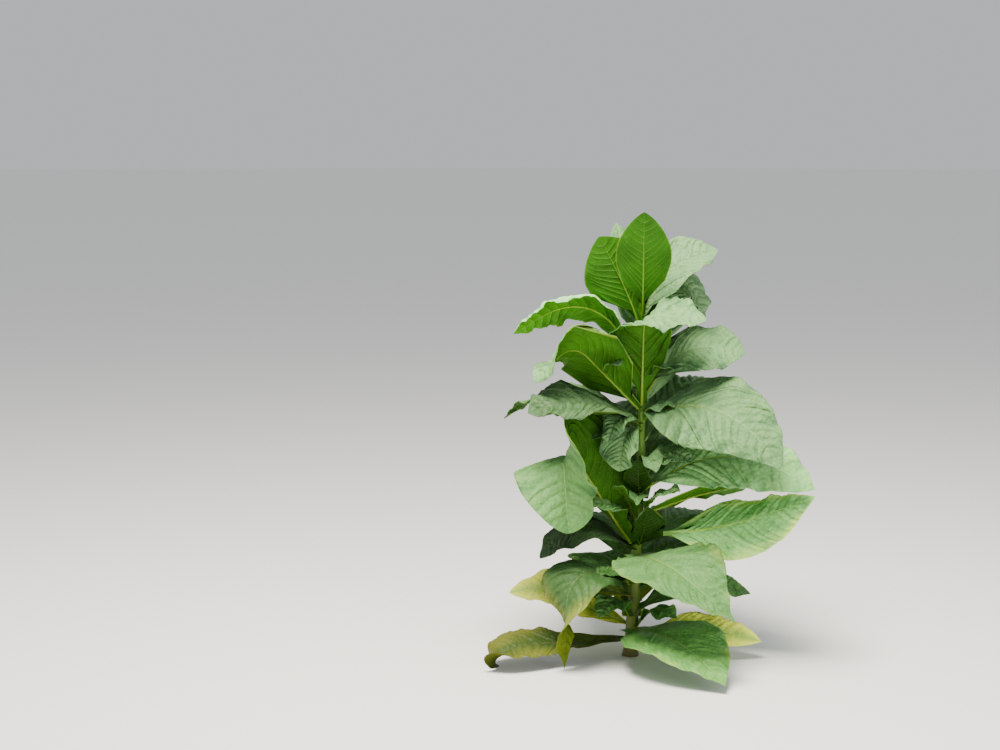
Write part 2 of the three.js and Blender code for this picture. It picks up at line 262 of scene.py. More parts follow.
hairs = grown_by_nodes("stem_hairs", stem.data, tree, {"Hair length": HAIR_LENGTH * MM}, [hair_pale])
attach(hairs, "root")


# Leaf blades
# Thin soft leaves, most of them big, set round the stem without stalks. They rise, arch over and droop. Each
# is one closed skin on the same midrib, outline and folds as its solid, with its mesh lines along the side
# veins, so that every vein is a crease and the tissue between two veins puffs up.
COMMON = {
    "rise": 45, "droop": -20, "bend_at": 0.5, "bend_span": 0.9, "sway": 0, "turn": 0, "roll": (0, 0, 0),
    "left_cup": 8, "left_curl": -10, "right_cup": 8, "right_curl": -10, "wave": 6, "stalk": 0.1, "peak": 0.52,
    "age": "grown", "ends": False,
}
# Sizes are in millimetres and angles in degrees. A leaf's foot stands "at" a height on the stem, and "roll"
# is its turn about the midrib at the foot, at the bend and at the tip.
LEAVES = {
    "leaf_01": dict(at=60, facing=352, rise=12, droop=-14, length=365, width=120, roll=(-30, -35, -40),
                    age="ripe"),
    "leaf_02": dict(at=50, facing=197, rise=2, droop=-52, bend_at=0.85, bend_span=0.34, sway=19, length=448,
                    width=164, peak=0.7, roll=(12, 12, -88), age="ripe"),
    "leaf_03": dict(at=80, facing=299, rise=8, droop=-22, length=468, width=290, stalk=0.03, peak=0.42,
                    roll=(-10, -5, 0)),
    "leaf_04": dict(at=92, facing=160, rise=22, droop=6, length=200, width=90, roll=(25, 25, 25),
                    age="ripe"),
    "leaf_05": dict(at=115, facing=92, rise=34, droop=-30, length=400, width=210, age="ripe"),
    "leaf_06": dict(at=180, facing=176, rise=12, droop=-12, length=352, width=160, roll=(20, 25, 35),
                    age="ripe"),
    "leaf_07": dict(at=205, facing=45, rise=40, droop=-35, length=450, width=230),
    "leaf_08": dict(at=225, facing=219, rise=17, droop=-88, bend_at=0.46, bend_span=0.42, turn=6,
                    length=490, width=200, peak=0.42, roll=(15, 12, -112), ends=True),
    "leaf_09": dict(at=262, facing=112, rise=44, droop=-40, length=480, width=245),
    "leaf_10": dict(at=302, facing=291, rise=6, droop=-37, sway=50, length=464, width=320, stalk=0.02,
                    peak=0.4, roll=(-10, -12, -10), left_cup=3, left_curl=0, right_cup=14),
    "leaf_11": dict(at=360, facing=351, rise=6, droop=23, length=520, width=226, stalk=0.24, peak=0.54,
                    roll=(-12, -34, -30), right_cup=-24, right_curl=-10, left_cup=-12, left_curl=5,
                    wave=14),
    "leaf_12": dict(at=340, facing=191, rise=57, droop=-80, bend_at=0.6, bend_span=0.3, turn=74, sway=42,
                    length=588, width=296, peak=0.6, roll=(-22, -24, 5), left_cup=32, left_curl=60,
                    ends=True),
    "leaf_13": dict(at=318, facing=186, rise=38, droop=-48, length=315, width=180, roll=(10, 15, 20)),
    "leaf_14": dict(at=395, facing=124, rise=50, droop=-45, length=500, width=250),
    "leaf_15": dict(at=468, facing=70, rise=52, droop=-40, length=520, width=260),
    "leaf_16": dict(at=424, facing=14, rise=17, droop=2, length=440, width=220, roll=(25, 25, 25)),
    "leaf_17": dict(at=500, facing=345, rise=34, droop=-30, length=535, width=236, roll=(-26, -28, -31),
                    right_cup=-8, right_curl=-12, left_cup=5, left_curl=0),
    "leaf_18": dict(at=560, facing=104, rise=54, droop=-45, length=520, width=260),
    "leaf_19": dict(at=628, facing=156, rise=48, droop=-35, length=490, width=232),
    "leaf_20": dict(at=640, facing=40, rise=54, droop=-30, length=480, width=240),
    "leaf_21": dict(at=690, facing=203, rise=30, droop=-14, length=365, width=240, roll=(8, 14, 25)),
    "leaf_22": dict(at=668, facing=228, rise=12, droop=-80, bend_at=0.34, bend_span=0.5, length=172,
                    width=136, peak=0.56, roll=(6, 8, 14), left_cup=15, left_curl=20, right_cup=15,
                    right_curl=20),
    "leaf_23": dict(at=715, facing=80, rise=56, droop=-35, length=480, width=230),
    "leaf_24": dict(at=722, facing=325, rise=16, droop=-47, length=505, width=280, stalk=0.02, peak=0.42,
                    roll=(-18, -21, -24), right_cup=-15, right_curl=-25, left_cup=10, left_curl=0),
    "leaf_25": dict(at=750, facing=266, rise=77, droop=-6, bend_at=0.6, bend_span=0.3, turn=62, sway=25,
                    length=448, width=214, peak=0.56, roll=(0, -22, -26), left_cup=5, left_curl=5,
                    right_cup=5, right_curl=5, ends=True),
    "leaf_26": dict(at=737, facing=192, rise=45, droop=-46, bend_at=0.64, bend_span=0.3, length=412,
                    width=278, peak=0.5, roll=(-45, -45, 22), left_cup=10, left_curl=-30, right_cup=12,
                    right_curl=0, ends=True),
    "leaf_27": dict(at=778, facing=355, rise=60, droop=-14, length=345, width=208, stalk=0.18, peak=0.6,
                    roll=(-15, -20, -25), right_cup=-10, left_cup=10, left_curl=0),
    "leaf_28": dict(at=786, facing=168, rise=30, droop=34, length=95, width=52, roll=(30, 40, 45),
                    left_cup=25, left_curl=10, right_cup=25, right_curl=10),
    "leaf_29": dict(at=750, facing=120, rise=56, droop=-20, length=430, width=205),
    "leaf_30": dict(at=860, facing=57, rise=58, droop=-15, length=405, width=196),
    "leaf_31": dict(at=840, facing=181, rise=66, droop=-32, bend_span=0.75, length=480, width=160,
                    stalk=0.25, peak=0.62, roll=(-40, -55, -50), left_cup=15, left_curl=-90, right_cup=10,
                    right_curl=10),
    "leaf_32": dict(at=905, facing=90, rise=66, droop=10, length=345, width=160),
    "leaf_33": dict(at=944, facing=20, rise=60, droop=-72, bend_at=0.58, bend_span=0.45, length=338,
                    width=138, peak=0.6, roll=(-38, -42, -45), left_cup=5, left_curl=5, right_cup=5,
                    right_curl=5, wave=4, age="young"),
    "leaf_34": dict(at=940, facing=115, rise=70, droop=58, length=358, width=130, wave=4, age="young"),
    "leaf_35": dict(at=976, facing=197, rise=67, droop=60, length=285, width=200, stalk=0.17, peak=0.56,
                    roll=(-60, -80, -80), left_cup=5, left_curl=10, right_cup=4, right_curl=4, wave=3,
                    age="young"),
    "leaf_36": dict(at=992, facing=16, rise=75, droop=14, bend_at=0.45, length=318, width=202,
                    roll=(-12, -14, -18), left_cup=30, left_curl=0, right_cup=6, age="young"),
    "leaf_37": dict(at=1008, facing=267, rise=62, droop=73, length=322, width=162, stalk=0.14, peak=0.55,
                    wave=2, left_curl=6, right_curl=6, age="young"),
    "leaf_38": dict(at=1011, facing=90, rise=82, droop=76, length=115, width=34, wave=0, left_cup=30,
                    left_curl=10, right_cup=30, right_curl=10, age="young"),
    "leaf_39": dict(at=575, facing=292, rise=42, droop=-60, length=112, width=68, roll=(-8, -10, -12),
                    left_cup=14, left_curl=10, right_cup=14, right_curl=10, wave=4),
    "leaf_40": dict(at=462, facing=262, rise=40, droop=-35, length=96, width=62, roll=(10, 12, 15),
                    left_cup=20, left_curl=10, right_cup=20, right_curl=10, wave=3),
    "leaf_41": dict(at=322, facing=44, rise=26, droop=-22, length=430, width=255),
    "leaf_42": dict(at=158, facing=112, rise=44, droop=-34, length=400, width=215),
    "leaf_43": dict(at=136, facing=8, rise=34, droop=-22, length=360, width=190, roll=(-10, -15, -15)),
    "leaf_44": dict(at=333, facing=286, rise=50, droop=68, length=150, width=156, stalk=0.22, peak=0.52,
                    left_cup=-15, right_cup=-25, wave=5),
    "leaf_45": dict(at=486, facing=262, rise=64, droop=64, length=120, width=90, stalk=0.06, peak=0.52,
                    left_cup=-24, right_cup=-8, wave=4),
}
# Small leaves in the axils of the big ones. They fill the inside of the plant and replace no solid.
AXIL_LEAVES = {
    "axil_leaf_01": dict(at=528, facing=318, rise=58, droop=10, length=135, width=66, roll=(-10, -20, -20)),
    "axil_leaf_02": dict(at=560, facing=338, rise=48, droop=-30, length=170, width=70,
                         roll=(-10, -25, -30)),
    "axil_leaf_03": dict(at=700, facing=318, rise=58, droop=-10, length=130, width=76,
                         roll=(-10, -15, -20)),
    "axil_leaf_04": dict(at=690, facing=222, rise=34, droop=-74, length=170, width=92, roll=(8, 10, 12)),
    "axil_leaf_05": dict(at=610, facing=196, rise=62, droop=-30, length=170, width=84, roll=(10, 15, 20)),
    "axil_leaf_06": dict(at=410, facing=228, rise=66, droop=30, length=150, width=86, roll=(10, 10, 10)),
    "axil_leaf_07": dict(at=812, facing=212, rise=60, droop=-30, length=165, width=70,
                         roll=(-15, -25, -30)),
    "axil_leaf_08": dict(at=425, facing=322, rise=58, droop=5, length=160, width=92, roll=(-8, -10, -10)),
    "axil_leaf_09": dict(at=815, facing=330, rise=58, droop=-20, length=120, width=64,
                         roll=(-10, -10, -10)),
    "axil_leaf_10": dict(at=235, facing=250, rise=60, droop=-10, length=120, width=70),
    "axil_leaf_11": dict(at=600, facing=60, rise=60, droop=0, length=170, width=90),
    "axil_leaf_12": dict(at=450, facing=120, rise=58, droop=0, length=180, width=95),
    "axil_leaf_13": dict(at=215, facing=206, rise=48, droop=-50, length=230, width=120, roll=(10, 15, 15)),
    "axil_leaf_14": dict(at=120, facing=232, rise=58, droop=-40, length=190, width=100, roll=(10, 10, 10)),
    "axil_leaf_15": dict(at=240, facing=330, rise=50, droop=-30, length=200, width=110,
                         roll=(-10, -15, -15)),
    "axil_leaf_16": dict(at=90, facing=318, rise=56, droop=-20, length=170, width=90, roll=(-8, -10, -10)),
    "axil_leaf_17": dict(at=390, facing=200, rise=56, droop=-20, length=200, width=100, roll=(12, 15, 15)),
}
AXIL_CRUMPLE = 1.7
LEAF_CLEARANCE = 0.35
SOLID_THICKNESS_SHARE = 1 / 92
BLADE_THICKNESS = 0.8
TIP_HALF_WIDTH = 0.5
LEAF_FULLNESS = 0.75
WING_SHARE_AT_FOOT = 0.32
WING_SHARE_AT_TOP = 0.08
WING_NARROWS_FROM = 0.05
WING_NARROWS_OVER = 0.3
BASE_SETTLES_OVER = 0.16
BLADE_OPENS_OVER = 0.2
WAVES = 2.2
WAVE_OFFSET_LEFT = 120
WAVE_FADE = 0.7
MIDRIB_STEPS = 60
MIDRIB_RADIUS_SHARE = 1 / 105
MIDRIB_END_RADIUS = 0.35
MIDRIB_TAPER = 1.2
MIDRIB_SHARE_AT_MOST = 0.45
MIDRIB_FLANK = 1.6
VEINS_AT_LEAST = 7
LENGTH_PER_MORE_VEINS = 90
VEIN_SLOPE = 0.62
VEIN_SLOPE_SPREAD = 0.14
VEIN_CURVE = 0.22
VEIN_CURVE_POWER = 2.5
VEIN_SWEEP_OPENS_OVER = 0.14
VEINS_FROM = 0.02
VEINS_FROM_STALK_SHARE = 0.7
VEINS_TO = 0.965
VEIN_CROWDING = 0.95
VEIN_PLACE_SPREAD = 0.12
ROWS_IN_PANEL = (0, 0.07, 0.21, 0.4, 0.6, 0.79, 0.93)
ROWS_IN_PLEATED_FOOT = 60
COLUMN_SPACING = 6.2
FEWEST_COLUMNS = 9
PUFF = 5.0
PUFF_SPREAD = 0.75
PUFF_ROUNDING = 1.2
PUFF_GROWTH = 1.6
PUFF_OPENS_OVER = 0.2
PUFF_LOST_AT_MARGIN = 0.35
MARGIN_FROM = 0.7
TYPICAL_PANEL = 45
VEIN_CREASE = 1.5
CREASE_WIDTH = 0.09
CREASE_LOST_AT_MARGIN = 0.7
TROUGH_WIDTH = 1.3
TROUGH_DEPTH = 0.55
CRUMPLE = 3.8
CRUMPLE_SIZE = 26
SMALL_CRUMPLE = 0.5
CRUMPLE_OPENS_OVER = 0.1
CRUMPLE_AT_FOOT = 0.55
CRUMPLE_AT_TOP = 1.25
SMOOTHEST = {"leaf_35": 0.35, "leaf_37": 0.3, "leaf_34": 0.5, "leaf_38": 0.3}
MOST_CRUMPLED = {"leaf_21": 1.8, "leaf_22": 1.7, "leaf_25": 1.4, "leaf_33": 1.5, "leaf_36": 1.0}
RUFFLE = 8.0
RUFFLE_LENGTH = 95
SECOND_RUFFLE = 0.7
SECOND_RUFFLE_RATE = 1.7
RUFFLE_RISE = 2.4
RELIEF_FADES_OVER = 0.12
CLASP_OVER = 0.1
CLASP_CLEARANCE = 1.5
RELIEF_SPAN = 14
LIES_ABOVE_GROUND = 3.5
# Folds across one half of a leaf: the half, 1 for right and -1 for left, where they begin and stop as shares
# of its length, and the length and height of one fold.
PLEATS = {
    "leaf_24": (1, 0.02, 0.5, 52, 15),
    "leaf_10": (-1, 0.2, 0.8, 30, 3),
    "leaf_12": (-1, 0.5, 0.9, 60, 6),
}
PLEAT_FADES_OVER = 0.08
PLEAT_RISE = 1.5


def smooth(x):
    t = np.clip(x, 0, 1)
    return t * t * (3 - 2 * t)


def half_width(leaf, s):
    stalk = leaf["stalk"]
    t = np.clip((s - stalk) / (1 - stalk), 0, 1)
    widest = (leaf["peak"] - stalk) / (1 - stalk)
    power = (1 - widest) / widest
    top = widest * (1 - widest) ** power
    body = (t * (1 - t) ** power / top) ** LEAF_FULLNESS
    share = WING_SHARE_AT_FOOT + (WING_SHARE_AT_TOP - WING_SHARE_AT_FOOT) * leaf["at"] / STEM_HEIGHT
    wing = share * (1 - smooth((s - WING_NARROWS_FROM) / WING_NARROWS_OVER))
    return np.maximum(leaf["width"] / 2 * np.maximum(body, wing), TIP_HALF_WIDTH)


def roll_at(leaf, s):
    base, bend, tip = leaf["roll"]
    bend_at = leaf["bend_at"]
    before = base + (bend - base) * smooth(s / bend_at)
    after = bend + (tip - bend) * smooth((s - bend_at) / (1 - bend_at))
    return smooth(s / BASE_SETTLES_OVER) * np.where(s < bend_at, before, after)


def heading(leaf, s):
    """Ways along and across the midrib at shares s of its length."""
    bent = smooth((s - leaf["bend_at"]) / leaf["bend_span"] + 0.5)
    lift = np.radians(leaf["rise"] + (leaf["droop"] - leaf["rise"]) * bent)
    facing = np.radians(leaf["facing"] + leaf["sway"] * s * s + leaf["turn"] * bent)
    along = np.stack([np.cos(lift) * np.cos(facing), np.cos(lift) * np.sin(facing), np.sin(lift)], -1)
    across = np.stack([np.sin(facing), -np.cos(facing), 0 * s], -1)
    return along, across


def midrib(leaf):
    """Points on the midrib, with the ways across and out of the blade there."""
    s = np.linspace(0, 1, MIDRIB_STEPS + 1)
    along, across = heading(leaf, s)
    face = np.cross(across, along)
    roll = np.radians(roll_at(leaf, s))[:, None]
    side = across * np.cos(roll) + face * np.sin(roll)
    out = face * np.cos(roll) - across * np.sin(roll)
    facing = math.radians(leaf["facing"])
    outward = np.array([math.cos(facing), math.sin(facing), 0])
    x, y = stem_centre(leaf["at"])
    lean = leaf["length"] * SOLID_THICKNESS_SHARE / 2 * abs(math.sin(math.radians(leaf["rise"])))
    start = np.array([x, y, leaf["at"]]) + outward * (stem_radius(leaf["at"]) + LEAF_CLEARANCE + lean)
    step = heading(leaf, s[:-1] + 0.5 / MIDRIB_STEPS)[0] * leaf["length"] / MIDRIB_STEPS
    points = start + np.concatenate([np.zeros((1, 3)), np.cumsum(step, 0)])
    return points, side, out


def between(stations, s):
    place = s * MIDRIB_STEPS
    i = np.clip(place.astype(int), 0, MIDRIB_STEPS - 1)
    mix = (place - i)[..., None]
    return stations[i] * (1 - mix) + stations[i + 1] * mix


def unit(vectors):
    return vectors / np.linalg.norm(vectors, axis=-1, keepdims=True)


def blade_points(leaf, rib, s, u):
    """Middle of the blade, and the way out of its upper side: u runs from -1 at the left margin to 1."""
    point = between(rib[0], s)
    side = unit(between(rib[1], s))
    out = unit(between(rib[2], s))
    size = np.abs(u)
    reach = half_width(leaf, s) * size
    opened = smooth(s / BLADE_OPENS_OVER)
    cup = np.radians(np.where(u < 0, leaf["left_cup"], leaf["right_cup"])) * opened
    curl = np.radians(np.where(u < 0, leaf["left_curl"], leaf["right_curl"])) * opened
    middle = cup + curl * size / 2
    end = cup + curl * size
    phase = np.radians(360 * WAVES * s + np.where(u < 0, WAVE_OFFSET_LEFT, 0))
    lift = leaf["wave"] * u * u * np.sin(phase) * np.sin(np.pi * np.clip(s, 0, 1)) ** WAVE_FADE
    sideways = (np.sign(u) * (reach * np.cos(middle) - lift * np.sin(end)))[..., None]
    up = (reach * np.sin(middle) + lift * np.cos(end))[..., None]
    normal = out * np.cos(end)[..., None] - side * (np.sign(u) * np.sin(end))[..., None]
    return point + side * sideways + out * up, normal


def rows_and_columns(name, leaf, chance):
    """Shares s and u of every mesh corner, and each row's panel number: whole numbers are the side veins."""
    veins = VEINS_AT_LEAST + round(leaf["length"] / LENGTH_PER_MORE_VEINS)
    start = VEINS_FROM_STALK_SHARE * leaf["stalk"] + VEINS_FROM
    places = start + (VEINS_TO - start) * (np.arange(1, veins + 1) / (veins + 1)) ** VEIN_CROWDING
    places += chance.uniform(-VEIN_PLACE_SPREAD, VEIN_PLACE_SPREAD, veins) / veins
    knots = np.concatenate([[0], places, [1]])
    foot = np.linspace(0, 1, ROWS_IN_PLEATED_FOOT, endpoint=False) if name in PLEATS else ROWS_IN_PANEL
    panels = np.array([*foot, *(k + f for k in range(1, veins + 1) for f in ROWS_IN_PANEL), veins + 1.0])
    v = np.interp(panels, np.arange(veins + 2), knots)[:, None]
    slopes = [1 + chance.uniform(-VEIN_SLOPE_SPREAD, VEIN_SLOPE_SPREAD, veins + 2) for half in range(2)]
    ratio = leaf["width"] / 2 / leaf["length"]
    rib = np.clip(rib_radius(leaf, v) / half_width(leaf, v), 0, MIDRIB_SHARE_AT_MOST)
    flank = MIDRIB_FLANK * rib
    spread = np.linspace(0, 1, max(FEWEST_COLUMNS, round(leaf["width"] / 2 / COLUMN_SPACING)) - 2)[None, 1:]
    right = np.concatenate([rib / 2, rib, flank, flank + (1 - flank) * spread], 1)
    u = np.concatenate([-right[:, ::-1], 0 * v, right], 1)
    size = np.abs(u)
    slope = np.where(u < 0, np.interp(panels, np.arange(veins + 2), slopes[0])[:, None],
                     np.interp(panels, np.arange(veins + 2), slopes[1])[:, None])
    sweep = ratio * slope * (VEIN_SLOPE * size + VEIN_CURVE * size ** VEIN_CURVE_POWER)
    s = v + sweep * 2 * (1 - v) * smooth(v / VEIN_SWEEP_OPENS_OVER)
    return np.clip(s, 0, 1), u, panels[:, None], veins


def rib_radius(leaf, s):
    """Radius of the midrib in millimetres: thick at the stem, thin at the tip."""
    return MIDRIB_END_RADIUS + leaf["length"] * MIDRIB_RADIUS_SHARE * (1 - s) ** MIDRIB_TAPER


def blade_skin(name, leaf, chance):
    """Upper and under corners of a blade, with the shares and the panel of each."""
    s, u, panels, veins = rows_and_columns(name, leaf, chance)
    rib = midrib(leaf)
    middle, normal = blade_points(leaf, rib, s, u)
    size = np.abs(u)
    part = panels % 1.0
    fresh = CRUMPLE_AT_FOOT + (CRUMPLE_AT_TOP - CRUMPLE_AT_FOOT) * leaf["at"] / STEM_HEIGHT
    fresh = AXIL_CRUMPLE if name in AXIL_LEAVES else fresh
    fresh = SMOOTHEST.get(name, MOST_CRUMPLED.get(name, fresh))
    inner = smooth((1 - s) / RELIEF_FADES_OVER) * smooth(s / RELIEF_FADES_OVER)
    panel_width = leaf["length"] / (veins + 1)
    panel = np.minimum(panels, veins).astype(int)
    swell = 1 + PUFF_SPREAD * chance.uniform(-1, 1, (2, veins + 1))
    swell = np.where(u < 0, swell[0][panel], swell[1][panel])
    flatter = 1 - PUFF_LOST_AT_MARGIN * smooth((size - MARGIN_FROM) / (1 - MARGIN_FROM))
    dome = np.sin(np.pi * part) ** PUFF_ROUNDING * smooth(size / PUFF_OPENS_OVER) * flatter
    push = PUFF * fresh * swell * (panel_width / TYPICAL_PANEL) ** PUFF_GROWTH * dome
    crease = np.exp(-(np.minimum(part, 1 - part) / CREASE_WIDTH) ** 2) * (1 - CREASE_LOST_AT_MARGIN * size)
    push -= VEIN_CREASE * fresh * crease
    trough = np.exp(-(size * half_width(leaf, s) / (TROUGH_WIDTH * rib_radius(leaf, s))) ** 2)
    push -= TROUGH_DEPTH * rib_radius(leaf, s) * trough
    small = SMALL_CRUMPLE * CRUMPLE_SIZE
    lumps = np.array([
        noise.noise(Vector(p) / CRUMPLE_SIZE) + SMALL_CRUMPLE * noise.noise(Vector(p) / small)
        for p in middle.reshape(-1, 3)
    ]).reshape(s.shape)
    push += CRUMPLE * fresh * lumps * smooth(size / CRUMPLE_OPENS_OVER)
    along = leaf["length"] * s / RUFFLE_LENGTH
    first, second = (np.where(u < 0, *chance.uniform(0, 2 * np.pi, 2)) for wave in range(2))
    ripple = np.sin(2 * np.pi * along + first)
    ripple += SECOND_RUFFLE * np.sin(2 * np.pi * SECOND_RUFFLE_RATE * along + second)
    push += RUFFLE * fresh * size ** RUFFLE_RISE * ripple / (1 + SECOND_RUFFLE)
    if name in PLEATS:
        way, begin, stop, fold, height = PLEATS[name]
        inside = smooth((s - begin) / PLEAT_FADES_OVER) * smooth((stop - s) / PLEAT_FADES_OVER)
        folds = np.sin(2 * np.pi * leaf["length"] * s / fold)
        push += height * inside * (np.sign(u) == way) * size ** PLEAT_RISE * folds
    push *= inner
    relief = np.clip(0.5 + push / RELIEF_SPAN, 0, 1)
    middle = middle + normal * push[..., None]
    middle = clasp(leaf, middle, s, u)
    middle[..., 2] = np.maximum(middle[..., 2], LIES_ABOVE_GROUND)
    half = BLADE_THICKNESS / 2
    return middle + normal * half, middle - normal * half, s, u, panels, veins, normal, relief


def clasp(leaf, points, s, u):
    """Bends the foot of the blade round the stem, as the wings of a stalkless leaf hold it."""
    facing = math.radians(leaf["facing"])
    outward = np.array([math.cos(facing), math.sin(facing), 0])
    hold = stem_radius(leaf["at"]) + CLASP_CLEARANCE
    off = np.clip(np.abs(u) * half_width(leaf, s), 0, hold)
    back = (hold - np.sqrt(hold ** 2 - off ** 2)) * (1 - smooth(s / CLASP_OVER))
    return points - outward * back[..., None]


def blade_faces(rows, columns):
    """Quads of the upper skin, the under skin and the rim, with a material number for each."""
    quads = []
    sides = []
    below = rows * columns
    for i in range(rows - 1):
        for j in range(columns - 1):
            a = i * columns + j
            quads.append((a, a + 1, a + columns + 1, a + columns))
            quads.append((below + a, below + a + columns, below + a + columns + 1, below + a + 1))
            sides += [0, 1]
        left = i * columns
        right = left + columns - 1
        quads.append((left, left + columns, below + left + columns, below + left))
        quads.append((right, below + right, below + right + columns, right + columns))
        sides += [0, 0]
    last = (rows - 1) * columns
    for j in range(columns - 1):
        quads.append((j, below + j, below + j + 1, j + 1))
        end = last + j
        quads.append((end, end + 1, below + end + 1, below + end))
        sides += [0, 0]
    return quads, sides


# What each age of leaf shows the eye. Young leaves are fresh green and nearly smooth, grown ones grey-green
# and crumpled under fine hairs, and the ripe ones near the ground yellow from the margin in. The darker and
# paler upper greens are painted shade in the creases and painted light on the puffs, mixed with a random
# mottle.
LEAF_COLOURS = {
    "young": dict(upper="#528c34", dark_mottle_and_crease_shade="#427a28", pale_mottle_and_puff_light="#669c4a", yellow="#9fb044", under="#306e00",
                  under_dark="#255800", under_yellow="#6c9400", vein="#84a848"),
    "grown": dict(upper="#4c8632", dark_mottle_and_crease_shade="#3a7226", pale_mottle_and_puff_light="#629644", yellow="#a8b838", under="#326800",
                  under_dark="#224c00", under_yellow="#788c00", vein="#82a656"),
    "ripe": dict(upper="#6c9c32", dark_mottle_and_crease_shade="#548422", pale_mottle_and_puff_light="#86ac44", yellow="#c2ca40", under="#5c7a02",
                 under_dark="#486400", under_yellow="#8e9a00", vein="#b4c060"),
}


def store_on_points(mesh, name, values):
    layer = mesh.attributes.new(name, "FLOAT", "POINT")
    layer.data.foreach_set("value", values.astype(np.float32))


def attribute(tree, name):
    return add_node(tree, "ShaderNodeAttribute", {"attribute_name": name}).outputs["Fac"]


def ripened(tree, base, yellow, broad):
    """The colour of the blade turned yellow in patches, first at its margin, as far as it has ripened."""
    edge = add_node(tree, "ShaderNodeMath", {"operation": "MULTIPLY_ADD"}, {
        0: broad, 1: 0.9, 2: attribute(tree, "margin"),
    })
    ripening = add_node(tree, "ShaderNodeMath", {"operation": "MULTIPLY_ADD"}, {
        0: attribute(tree, "ripeness"), 1: 1.6, 2: edge.outputs[0],
    })
    share = add_node(tree, "ShaderNodeMapRange", None, {
        "Value": ripening.outputs[0], "From Min": 1.5, "From Max": 2.3,
    })
    aged = add_node(tree, "ShaderNodeMix", {"data_type": "RGBA"}, {
        0: share.outputs[0], 6: base, 7: colour(yellow),
    })
    return aged.outputs[2]


def with_tone_and_painted_light(tree, base):
    """The colour made deeper or paler for each leaf as a whole: partly a tone that differs at random, partly
    painted light and shade on the whole leaf.
    """
    deep = add_node(tree, "ShaderNodeMix", {"data_type": "RGBA", "blend_type": "MULTIPLY"}, {
        0: 1.0, 6: base, 7: attribute(tree, "tone_and_painted_light"),
    })
    return deep.outputs[2]


def upper_material(age):
    """Upper side of a leaf: quilted tissue with painted shade in its creases and hollows, painted light on
    its puffs, and a painted pale sheen for its fine hairs and a reflection of the sky.
    """
    tones = LEAF_COLOURS[age]
    material, tree, shader = new_material(age + "_leaf_upper_side", Roughness=0.52, IOR=1.38)
    shader.inputs["Specular IOR Level"].default_value = 0.32
    place = add_node(tree, "ShaderNodeTexCoord").outputs["Object"]
    broad = add_node(tree, "ShaderNodeTexNoise", None, {
        "Vector": place, "Scale": per_metre(60), "Detail": 3.0,
    })
    fine = add_node(tree, "ShaderNodeTexNoise", None, {"Vector": place, "Scale": per_metre(6), "Detail": 3.0})
    warp = add_node(tree, "ShaderNodeVectorMath", {"operation": "MULTIPLY_ADD"}, {
        0: fine.outputs["Color"], 1: (0.004, 0.004, 0.004), 2: place,
    })
    cells = add_node(tree, "ShaderNodeTexVoronoi", {"feature": "SMOOTH_F1"}, {
        "Vector": warp.outputs[0], "Scale": per_metre(10), "Smoothness": 0.6,
    })
    # Painted shade and light: the upper side is darker in its creases and paler on its puffs, following the
    # blade's relief, with a broad random mottle on top.
    height = add_node(tree, "ShaderNodeMath", {"operation": "MULTIPLY_ADD"}, {
        0: broad.outputs["Fac"], 1: 0.5, 2: attribute(tree, "relief"),
    })
    lit = ramp(tree, height.outputs[0], [(0.3, tones["dark_mottle_and_crease_shade"]), (0.65, tones["upper"]), (1.0, tones["pale_mottle_and_puff_light"])])
    # Painted shade in the small crumple hollows: each cell is darker towards its sunken edges.
    painted_pit_shade = ramp(tree, cells.outputs["Distance"], [(0.15, "#ffffff"), (0.8, "#8fa080")])
    quilt_with_painted_shade = add_node(tree, "ShaderNodeMix", {"data_type": "RGBA", "blend_type": "MULTIPLY"}, {
        0: 0.4, 6: lit, 7: painted_pit_shade,
    })
    aged = ripened(tree, quilt_with_painted_shade.outputs[2], tones["yellow"], broad.outputs["Fac"])
    lined = add_node(tree, "ShaderNodeMix", {"data_type": "RGBA"}, {
        0: attribute(tree, "vein"), 6: aged, 7: colour(tones["vein"]),
    })
    # Painted sheen: a pale grey-blue laid over the upper side, for fine hairs and a reflection of the sky,
    # stronger on leaves higher on the stem.
    hairs_and_painted_sheen = add_node(tree, "ShaderNodeMix", {"data_type": "RGBA"}, {
        0: attribute(tree, "bloom_and_painted_sheen"), 6: lined.outputs[2], 7: colour("#a4b8ac"),
    })
    tree.links.new(with_tone_and_painted_light(tree, hairs_and_painted_sheen.outputs[2]), shader.inputs["Base Color"])
    hollow = add_node(tree, "ShaderNodeMath", {"operation": "MULTIPLY_ADD"}, {
        0: fine.outputs["Fac"], 1: 0.15, 2: cells.outputs["Distance"],
    })
    bump = add_node(tree, "ShaderNodeBump", {"invert": True}, {
        "Strength": 1.0, "Distance": 0.003, "Height": hollow.outputs[0],
    })
    tree.links.new(bump.outputs[0], shader.inputs["Normal"])
    return material


